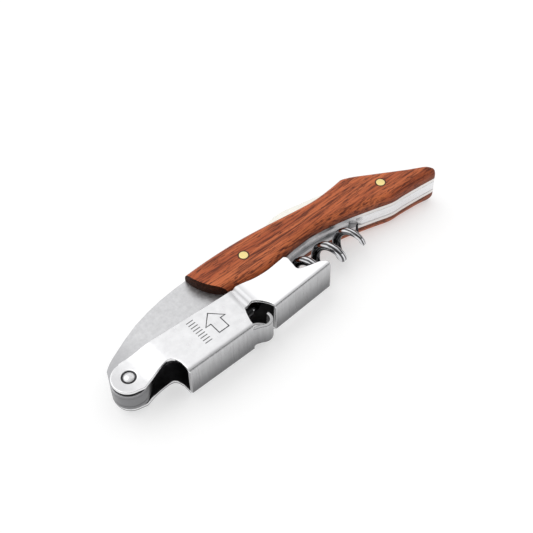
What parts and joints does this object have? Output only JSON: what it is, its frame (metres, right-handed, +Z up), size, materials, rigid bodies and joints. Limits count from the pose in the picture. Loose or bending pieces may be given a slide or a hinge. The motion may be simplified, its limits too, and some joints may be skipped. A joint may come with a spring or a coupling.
{
  "type": "waiters corkscrew",
  "caption": "Folding waiter's corkscrew with wooden scales, double-lever bottle rest, worm and foil knife, closed and lying flat.",
  "frame": {"origin": "bottom centre of the closed tool's box, on the face it lies on", "axes": "+X from the lever rivet to the tail, +Y towards the knife's back edge, +Z up through the handle's thickness"},
  "size_m": [0.1174, 0.0306, 0.0139],
  "materials": {
    "brushed_steel": "liners and core, fine brushed",
    "spring_steel": "polished, slightly darker",
    "bright_steel": "bright polished",
    "lever_steel": "brushed, bright, nickel plated",
    "pin_steel": "plain ground",
    "blade_steel": "bright polished",
    "chrome": "mirror",
    "brass": "ground flush, satin",
    "red_wood": "oiled, open-pored, reddish brown"
  },
  "bodies": {
    "handle": {"liner_upper": "brushed_steel", "liner_lower": "brushed_steel", "scale_upper": "red_wood", "scale_lower": "red_wood", "front_block": "brushed_steel", "back_spring": "spring_steel", "tail_spacer": "bright_steel", "scale_pin_front": "brass", "scale_pin_rear": "brass", "lever_rivet": "bright_steel", "worm_pin": "pin_steel", "liner_rivet": "pin_steel", "tail_rivet": "pin_steel", "knife_stop_pin": "pin_steel", "knife_washer_upper": "pin_steel", "knife_washer_lower": "pin_steel"},
    "lever": {"lever_arm": "lever_steel", "foot_hinge_pin": "lever_steel"},
    "foot": {"lever_foot": "lever_steel"},
    "worm": {"worm_hub": "bright_steel", "worm_coil": "chrome"},
    "knife": {"knife_blade": "blade_steel"}
  },
  "joints": [
    {"name": "lever_swing", "type": "hinge", "parent": "handle", "child": "lever", "pos_m": [-0.05353, -0.00404, 0.00695], "axis": [0, 0, -1], "range_deg": [0, 180]},
    {"name": "foot_hinge", "type": "hinge", "parent": "lever", "child": "foot", "pos_m": [-0.02053, -0.00954, 0.00695], "axis": [0, 0, -1], "range_deg": [0, 90]},
    {"name": "worm_fold", "type": "hinge", "parent": "handle", "child": "worm", "pos_m": [-0.01953, -0.00524, 0.00695], "axis": [0, 0, -1], "range_deg": [0, 90]},
    {"name": "knife_fold", "type": "hinge", "parent": "handle", "child": "knife", "pos_m": [0.04197, 0.00026, 0.00695], "axis": [0, 0, -1], "range_deg": [0, 135]}
  ],
  "couplings": [
    {"joint": "worm_fold", "follows": "lever_swing", "ratio": 0.5}
  ]
}
